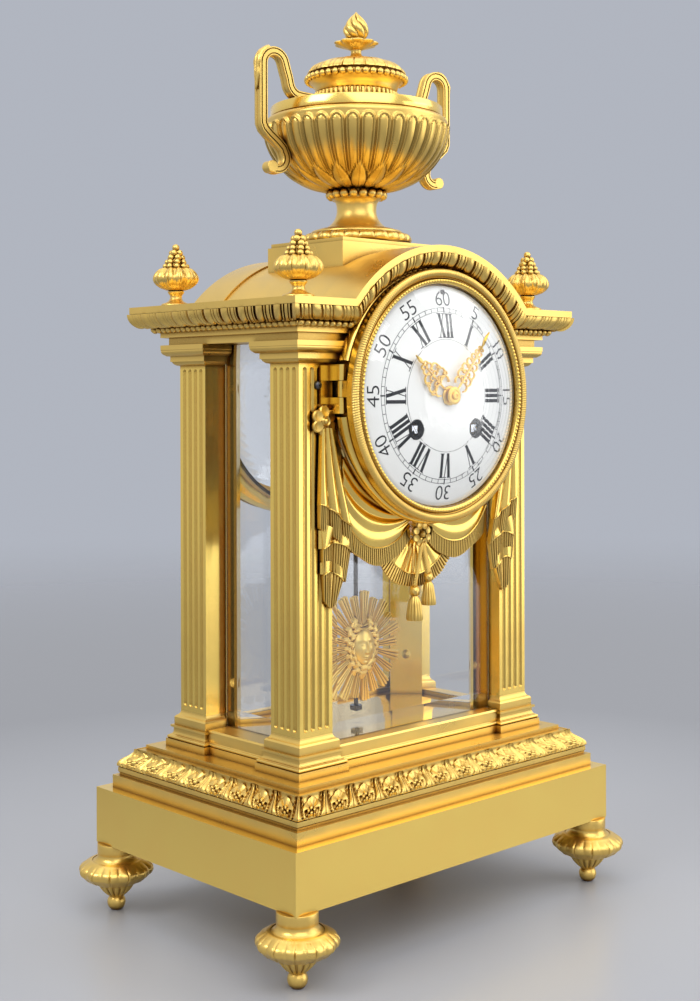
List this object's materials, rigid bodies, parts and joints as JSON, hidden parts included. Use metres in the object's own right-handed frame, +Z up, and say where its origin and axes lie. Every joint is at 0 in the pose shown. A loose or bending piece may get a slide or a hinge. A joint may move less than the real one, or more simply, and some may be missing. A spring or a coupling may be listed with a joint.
{
  "type": "four-glass mantel clock",
  "caption": "Gilt four-glass mantel clock with an arched cornice, urn, drapery, round hinged doors and a sun-mask pendulum.",
  "frame": {"origin": "On the floor under the centre of the clock, midway between the feet.", "axes": "X runs along the front to the right, Y to the back, Z up."},
  "size_m": [0.274, 0.1966, 0.5196],
  "materials": {
    "gilt_bronze": "matte fire gilding with burnished edges",
    "polished_brass": "satin polished brass",
    "gilt_hands": "pierced gilt hands",
    "clear_glass": "clear bevelled glass",
    "dark_steel": "dark drawn steel",
    "bell_metal": "turned bell metal",
    "white_enamel": "fired white enamel on a convex sheet"
  },
  "bodies": {
    "case": {"foot_front_left": "gilt_bronze", "foot_front_right": "gilt_bronze", "foot_rear_left": "gilt_bronze", "foot_rear_right": "gilt_bronze", "plinth_box": "polished_brass", "leaf_moulding": "gilt_bronze", "floor_plate": "polished_brass", "sill_rails": "gilt_bronze", "pilaster_front_left": "gilt_bronze", "pilaster_front_right": "gilt_bronze", "pilaster_rear_left": "gilt_bronze", "pilaster_rear_right": "gilt_bronze", "pilaster_bases": "gilt_bronze", "pilaster_capitals": "gilt_bronze", "corner_strips": "polished_brass", "cornice_sides": "gilt_bronze", "cornice_arches": "gilt_bronze", "roof_vault": "gilt_bronze", "glass_left": "clear_glass", "glass_right": "clear_glass", "glass_front": "clear_glass", "glass_rear": "clear_glass", "front_drum": "gilt_bronze", "rear_drum": "gilt_bronze", "hinge_leaves": "polished_brass", "dial": "white_enamel", "finials": "gilt_bronze", "urn_saddle": "gilt_bronze", "urn_foot": "gilt_bronze", "urn_bowl": "gilt_bronze", "urn_lid": "gilt_bronze", "urn_flame": "gilt_bronze", "urn_handles": "gilt_bronze", "festoon": "gilt_bronze", "drapery_left": "gilt_bronze", "drapery_right": "gilt_bronze", "movement_front_plate": "polished_brass", "movement_back_plate": "polished_brass", "movement_brackets": "polished_brass", "bell": "bell_metal"},
    "front_door": {"front_bezel": "gilt_bronze", "front_bezel_glass": "clear_glass"},
    "rear_door": {"rear_bezel": "gilt_bronze", "rear_bezel_glass": "clear_glass"},
    "minute_train": {"centre_wheel": "polished_brass", "minute_hand": "gilt_hands"},
    "hour_train": {"hour_wheel": "polished_brass", "hour_hand": "gilt_hands"},
    "motion_train": {"motion_wheel": "polished_brass"},
    "going_barrel_body": {"going_barrel": "polished_brass"},
    "going_winding": {"going_arbor": "dark_steel"},
    "third_arbor": {"third_wheel": "polished_brass"},
    "escape_arbor": {"escape_wheel": "polished_brass"},
    "pallet_arbor": {"pallets": "dark_steel"},
    "pendulum": {"pendulum_rod": "dark_steel", "pendulum_bob": "gilt_bronze"},
    "strike_barrel_body": {"strike_barrel": "polished_brass"},
    "strike_winding": {"strike_arbor": "dark_steel"},
    "pin_arbor": {"pin_wheel": "polished_brass"},
    "hammer_arbor": {"hammer": "dark_steel"}
  },
  "joints": [
    {"name": "front_door_hinge", "type": "hinge", "parent": "case", "child": "front_door", "pos_m": [-0.0685, -0.06, 0.2933], "axis": [0, 0, -1], "range_deg": [0, 100]},
    {"name": "rear_door_hinge", "type": "hinge", "parent": "case", "child": "rear_door", "pos_m": [-0.0685, 0.06, 0.2933], "axis": [0, 0, 1], "range_deg": [0, 100]},
    {"name": "minute_turn", "type": "hinge", "parent": "case", "child": "minute_train", "pos_m": [0, -0.036, 0.2933], "axis": [0, 1, 0], "continuous": true},
    {"name": "hour_turn", "type": "hinge", "parent": "case", "child": "hour_train", "pos_m": [0, -0.036, 0.2933], "axis": [0, 1, 0], "continuous": true},
    {"name": "motion_turn", "type": "hinge", "parent": "case", "child": "motion_train", "pos_m": [0, -0.036, 0.2793], "axis": [0, 1, 0], "continuous": true},
    {"name": "going_barrel_turn", "type": "hinge", "parent": "case", "child": "going_barrel_body", "pos_m": [0.0237, -0.036, 0.275], "axis": [0, 1, 0], "continuous": true},
    {"name": "going_winding_turn", "type": "hinge", "parent": "case", "child": "going_winding", "pos_m": [0.0237, -0.036, 0.275], "axis": [0, 1, 0], "continuous": true},
    {"name": "third_turn", "type": "hinge", "parent": "case", "child": "third_arbor", "pos_m": [0.016, -0.036, 0.316], "axis": [0, 1, 0], "continuous": true},
    {"name": "escape_turn", "type": "hinge", "parent": "case", "child": "escape_arbor", "pos_m": [0, -0.036, 0.323], "axis": [0, 1, 0], "continuous": true},
    {"name": "strike_barrel_turn", "type": "hinge", "parent": "case", "child": "strike_barrel_body", "pos_m": [-0.0237, -0.036, 0.275], "axis": [0, 1, 0], "continuous": true},
    {"name": "strike_winding_turn", "type": "hinge", "parent": "case", "child": "strike_winding", "pos_m": [-0.0237, -0.036, 0.275], "axis": [0, 1, 0], "continuous": true},
    {"name": "pin_turn", "type": "hinge", "parent": "case", "child": "pin_arbor", "pos_m": [-0.03, -0.036, 0.305], "axis": [0, 1, 0], "continuous": true},
    {"name": "pendulum_swing", "type": "hinge", "parent": "case", "child": "pendulum", "pos_m": [0, 0.003, 0.338], "axis": [0, 1, 0], "range_deg": [-4, 4]},
    {"name": "pallet_swing", "type": "hinge", "parent": "case", "child": "pallet_arbor", "pos_m": [0, -0.02, 0.338], "axis": [0, 1, 0], "range_deg": [-4, 4]},
    {"name": "hammer_lift", "type": "hinge", "parent": "case", "child": "hammer_arbor", "pos_m": [-0.0405, -0.005, 0.318], "axis": [0, 1, 0], "range_deg": [0, 10]}
  ],
  "couplings": [
    {"joint": "hour_turn", "follows": "minute_turn", "ratio": 0.083333},
    {"joint": "motion_turn", "follows": "minute_turn", "ratio": -0.33333},
    {"joint": "going_barrel_turn", "follows": "minute_turn", "ratio": -0.16667},
    {"joint": "third_turn", "follows": "minute_turn", "ratio": -7},
    {"joint": "escape_turn", "follows": "minute_turn", "ratio": 35},
    {"joint": "pin_turn", "follows": "strike_barrel_turn", "ratio": -5.1429},
    {"joint": "pallet_swing", "follows": "pendulum_swing", "ratio": 1}
  ]
}
